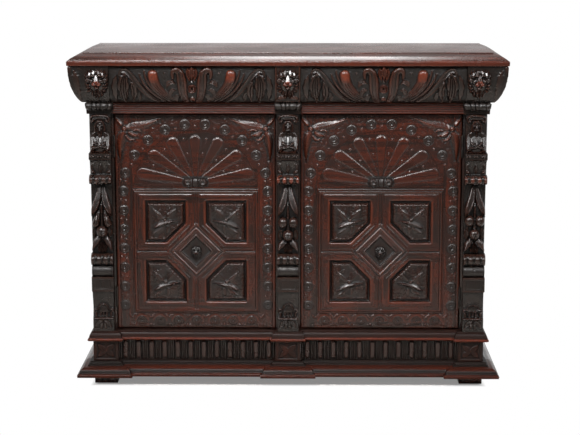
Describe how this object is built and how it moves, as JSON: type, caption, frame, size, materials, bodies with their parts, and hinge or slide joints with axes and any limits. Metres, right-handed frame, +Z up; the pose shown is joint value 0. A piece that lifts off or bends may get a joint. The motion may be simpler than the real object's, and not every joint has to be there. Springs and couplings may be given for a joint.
{
  "type": "credenza",
  "caption": "Carved oak credenza with a moulded top, frieze drawers above hinged doors between carved pilasters, and a moulded plinth on block feet.",
  "frame": {"origin": "middle of the whole box in plan, on the floor", "axes": "+X to the right of someone facing the front, +Y towards the back, +Z up"},
  "size_m": [1.4, 0.468, 1.1],
  "materials": {
    "oak": "dark red-brown stained oak, waxed",
    "carved_oak": "near-black carved oak, satin wax",
    "plain_oak": "unpolished oak inside",
    "iron": "darkened iron"
  },
  "bodies": {
    "carcase": {"top_board": "oak", "left_side_panel": "oak", "right_side_panel": "oak", "back_panel": "plain_oak", "cabinet_floor": "oak", "dust_board": "plain_oak", "shelf": "plain_oak", "left_drawer_guide": "plain_oak", "right_drawer_guide": "plain_oak", "drawer_divider": "plain_oak", "left_cornice": "carved_oak", "right_cornice": "carved_oak", "centre_bracket": "carved_oak", "left_lion_mask": "carved_oak", "centre_lion_mask": "carved_oak", "right_lion_mask": "carved_oak", "front_band": "oak", "left_capital": "carved_oak", "centre_capital": "carved_oak", "right_capital": "carved_oak", "left_pilaster": "carved_oak", "centre_pilaster": "carved_oak", "right_pilaster": "carved_oak", "front_base_moulding": "oak", "left_plinth_side": "oak", "right_plinth_side": "oak", "left_plinth_block": "oak", "centre_plinth_block": "oak", "right_plinth_block": "oak", "left_plinth_frieze": "oak", "right_plinth_frieze": "oak", "front_left_foot": "oak", "front_right_foot": "oak", "rear_left_foot": "oak", "rear_right_foot": "oak", "left_lower_hinge_fixed_leaf": "iron", "left_upper_hinge_fixed_leaf": "iron", "right_lower_hinge_fixed_leaf": "iron", "right_upper_hinge_fixed_leaf": "iron"},
    "left_door": {"left_door_frame": "oak", "left_fan_panel": "oak", "left_lower_panel": "oak", "left_lower_hinge_door_leaf": "iron", "left_upper_hinge_door_leaf": "iron"},
    "right_door": {"right_door_frame": "oak", "right_fan_panel": "oak", "right_lower_panel": "oak", "right_lower_hinge_door_leaf": "iron", "right_upper_hinge_door_leaf": "iron"},
    "left_drawer": {"left_drawer_front": "carved_oak", "left_drawer_outer_side": "plain_oak", "left_drawer_inner_side": "plain_oak", "left_drawer_back": "plain_oak", "left_drawer_bottom": "plain_oak"},
    "right_drawer": {"right_drawer_front": "carved_oak", "right_drawer_outer_side": "plain_oak", "right_drawer_inner_side": "plain_oak", "right_drawer_back": "plain_oak", "right_drawer_bottom": "plain_oak"}
  },
  "joints": [
    {"name": "left_door_hinge", "type": "hinge", "parent": "carcase", "child": "left_door", "pos_m": [-0.564, -0.1383, 0.186], "axis": [0, 0, -1], "range_deg": [0, 90]},
    {"name": "right_door_hinge", "type": "hinge", "parent": "carcase", "child": "right_door", "pos_m": [0.564, -0.1383, 0.186], "axis": [0, 0, 1], "range_deg": [0, 90]},
    {"name": "left_drawer_slide", "type": "slide", "parent": "carcase", "child": "left_drawer", "axis": [0, -1, 0], "range_m": [0, 0.24]},
    {"name": "right_drawer_slide", "type": "slide", "parent": "carcase", "child": "right_drawer", "axis": [0, -1, 0], "range_m": [0, 0.24]}
  ]
}
